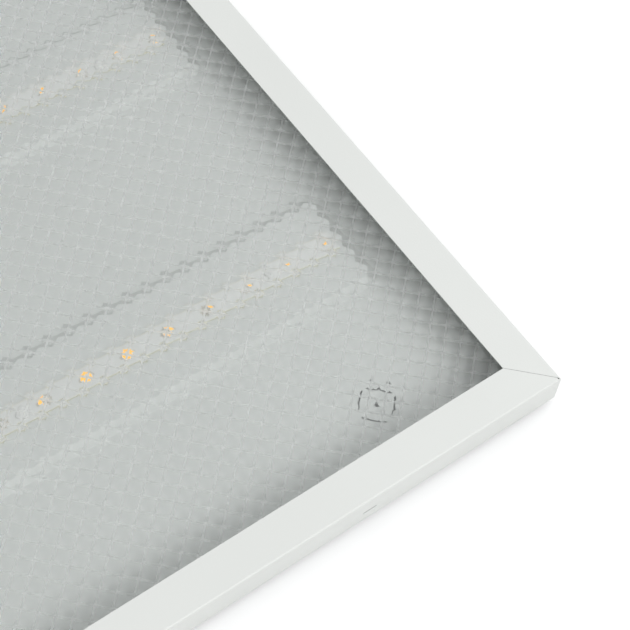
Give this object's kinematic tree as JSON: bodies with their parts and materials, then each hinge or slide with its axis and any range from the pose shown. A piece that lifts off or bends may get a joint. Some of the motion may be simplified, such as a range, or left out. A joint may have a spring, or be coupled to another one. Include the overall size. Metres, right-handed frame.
{
  "type": "recessed troffer light panel",
  "caption": "Square lay-in LED light panel: folded white steel housing with ribbed back, LED boards on the ribs, clip-on end rail and a clear prismatic diffuser that slides out.",
  "frame": {"origin": "middle of the panel's back face", "axes": "+Z out of the lit face, X and Y along the sides; the removable end rail is on the -Y side"},
  "size_m": [0.595, 0.595, 0.019],
  "materials": {
    "white_enamel": "powder coated, satin",
    "clear_prismatic": "clear, embossed with fine prisms",
    "board_white": "white solder resist",
    "led_white": "moulded, glossy",
    "phosphor": "yellow silicone dome",
    "rivet_white": "moulded nylon",
    "plug_white": "moulded nylon",
    "screw_zinc": "bright zinc plate",
    "insulating_film": "thin polyester film",
    "driver_board": "green solder resist",
    "standoff_nylon": "moulded nylon",
    "transformer_tape": "yellow winding tape on ferrite",
    "film_capacitor": "dipped red epoxy",
    "capacitor_sleeve": "shrunk plastic sleeve",
    "ferrite": "sintered ferrite",
    "terminal_grey": "moulded polyamide",
    "button_brown": "moulded polyamide",
    "button_blue": "moulded polyamide",
    "button_green": "moulded polyamide",
    "wire_brown": "soft insulation",
    "wire_blue": "soft insulation",
    "wire_earth": "soft insulation, green with a yellow stripe",
    "lead_white": "soft insulation",
    "grommet_rubber": "moulded",
    "stud_zinc": "zinc plate",
    "lug_tin": "tin plate on copper"
  },
  "bodies": {
    "housing": {"housing_pan": "white_enamel", "led_board_1": "board_white", "led_bodies_1": "led_white", "led_phosphors_1": "phosphor", "board_rivets_1": "rivet_white", "board_plug_1": "plug_white", "led_board_2": "board_white", "led_bodies_2": "led_white", "led_phosphors_2": "phosphor", "board_rivets_2": "rivet_white", "board_plug_2": "plug_white", "led_board_3": "board_white", "led_bodies_3": "led_white", "led_phosphors_3": "phosphor", "board_rivets_3": "rivet_white", "board_plug_3": "plug_white", "gear_cover": "white_enamel", "cover_screws": "screw_zinc", "insulating_sheet": "insulating_film", "driver_board": "driver_board", "driver_standoffs": "standoff_nylon", "driver_transformer": "transformer_tape", "driver_filter_capacitor": "film_capacitor", "driver_capacitors": "capacitor_sleeve", "driver_choke": "ferrite", "driver_output_plug": "plug_white", "driver_input_plug": "plug_white", "terminal_block": "terminal_grey", "live_wire": "wire_brown", "neutral_wire": "wire_blue", "earth_wire": "wire_earth", "cable_grommet": "grommet_rubber", "earth_stud": "stud_zinc", "earth_washer": "stud_zinc", "earth_nut": "stud_zinc", "earth_lug": "lug_tin", "leads_driver_to_board_3": "lead_white", "leads_driver_to_board_2": "lead_white", "leads_board_2_to_board_1": "lead_white"},
    "end_rail": {"end_rail": "white_enamel"},
    "diffuser": {"prismatic_diffuser": "clear_prismatic"},
    "button_live": {"terminal_button_live": "button_brown"},
    "button_neutral": {"terminal_button_neutral": "button_blue"},
    "button_earth": {"terminal_button_earth": "button_green"}
  },
  "joints": [
    {"name": "diffuser_slide", "type": "slide", "parent": "housing", "child": "diffuser", "axis": [0, -1, 0], "range_m": [0, 0.56]},
    {"name": "end_rail_pull", "type": "slide", "parent": "housing", "child": "end_rail", "axis": [0, -1, 0], "range_m": [0, 0.6]},
    {"name": "press_button_live", "type": "slide", "parent": "housing", "child": "button_live", "axis": [0, 0, -1], "range_m": [0, 0.001], "stiffness_N_per_m": 300, "springref_m": -0.002},
    {"name": "press_button_neutral", "type": "slide", "parent": "housing", "child": "button_neutral", "axis": [0, 0, -1], "range_m": [0, 0.001], "stiffness_N_per_m": 300, "springref_m": -0.002},
    {"name": "press_button_earth", "type": "slide", "parent": "housing", "child": "button_earth", "axis": [0, 0, -1], "range_m": [0, 0.001], "stiffness_N_per_m": 300, "springref_m": -0.002}
  ],
  "couplings": [
    {"joint": "end_rail_pull", "follows": "diffuser_slide", "ratio": 1.05}
  ]
}
